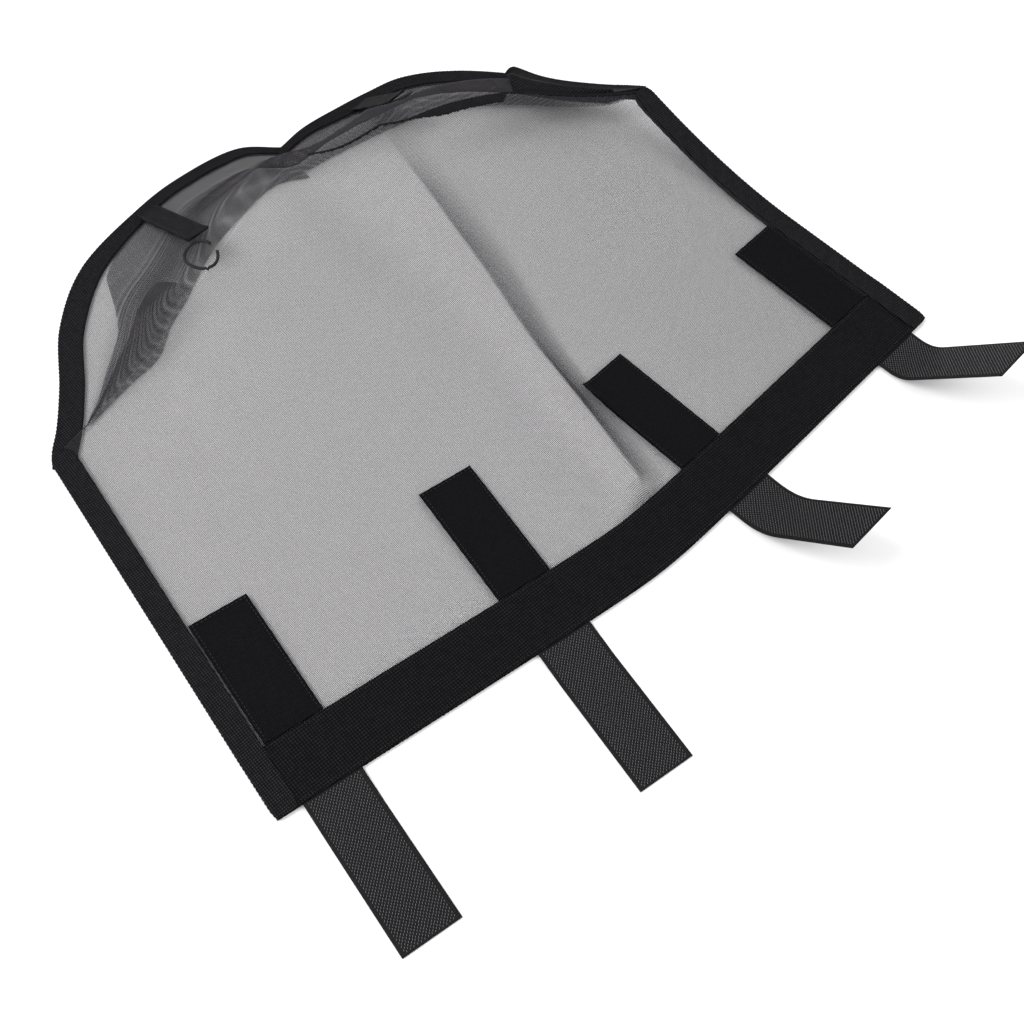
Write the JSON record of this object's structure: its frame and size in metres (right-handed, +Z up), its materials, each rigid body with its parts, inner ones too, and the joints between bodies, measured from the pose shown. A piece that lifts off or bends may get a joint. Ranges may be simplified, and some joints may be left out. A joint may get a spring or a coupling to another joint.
{
  "type": "motorcycle windshield screen",
  "caption": "Sheer mesh wind screen with bound edges, a two-lobed hood pocket on top, a webbing hem, loop patches and fold-up hook straps.",
  "frame": {"origin": "middle of the underside of the box around the screen as it lies on its back, face up", "axes": "+X along the hem, towards the side whose straps curl up; +Y from the hem to the hood; +Z up out of the face"},
  "size_m": [0.7142, 0.6848, 0.0842],
  "materials": {
    "mesh": "sheer woven monofilament mesh, slightly lustrous",
    "webbing": "matte ribbed polyester webbing and edge binding",
    "loop_pile": "matte napped loop pile",
    "hook_tape": "moulded hook rows on woven tape, slight plastic sheen"
  },
  "bodies": {
    "screen": {"front_mesh": "mesh", "seam_tape": "webbing", "hem_webbing_back": "webbing", "hem_webbing_front": "webbing", "side_binding_left": "webbing", "side_binding_right": "webbing", "hood_binding_left": "webbing", "hood_front_left": "mesh", "hood_tab_left": "webbing", "tab_loop_left": "webbing", "hood_back_left": "mesh", "hood_binding_right": "webbing", "hood_front_right": "mesh", "hood_tab_right": "webbing", "tab_loop_right": "webbing", "hood_back_right": "mesh", "loop_patch_1": "loop_pile", "strap_root_1": "hook_tape", "loop_patch_2": "loop_pile", "strap_root_2": "hook_tape", "loop_patch_3": "loop_pile", "strap_root_3": "hook_tape", "loop_patch_4": "loop_pile", "strap_root_4": "hook_tape"},
    "strap_1": {"hook_strap_1": "hook_tape"},
    "strap_2": {"hook_strap_2": "hook_tape"},
    "strap_3": {"hook_strap_3": "hook_tape"},
    "strap_4": {"hook_strap_4": "hook_tape"}
  },
  "joints": [
    {"name": "strap_1_fold", "type": "hinge", "parent": "screen", "child": "strap_1", "pos_m": [-0.31063, -0.19227, 0.0056], "axis": [-0.9951, 0.0985, 0], "range_deg": [0, 170]},
    {"name": "strap_2_fold", "type": "hinge", "parent": "screen", "child": "strap_2", "pos_m": [-0.10314, -0.2123, 0.0056], "axis": [-0.9951, 0.0985, 0], "range_deg": [0, 170]},
    {"name": "strap_3_fold", "type": "hinge", "parent": "screen", "child": "strap_3", "pos_m": [0.10314, -0.2123, 0.0056], "axis": [-0.9951, -0.0985, 0], "range_deg": [0, 115]},
    {"name": "strap_4_fold", "type": "hinge", "parent": "screen", "child": "strap_4", "pos_m": [0.31063, -0.19227, 0.0056], "axis": [-0.9951, -0.0985, 0], "range_deg": [0, 115]}
  ]
}
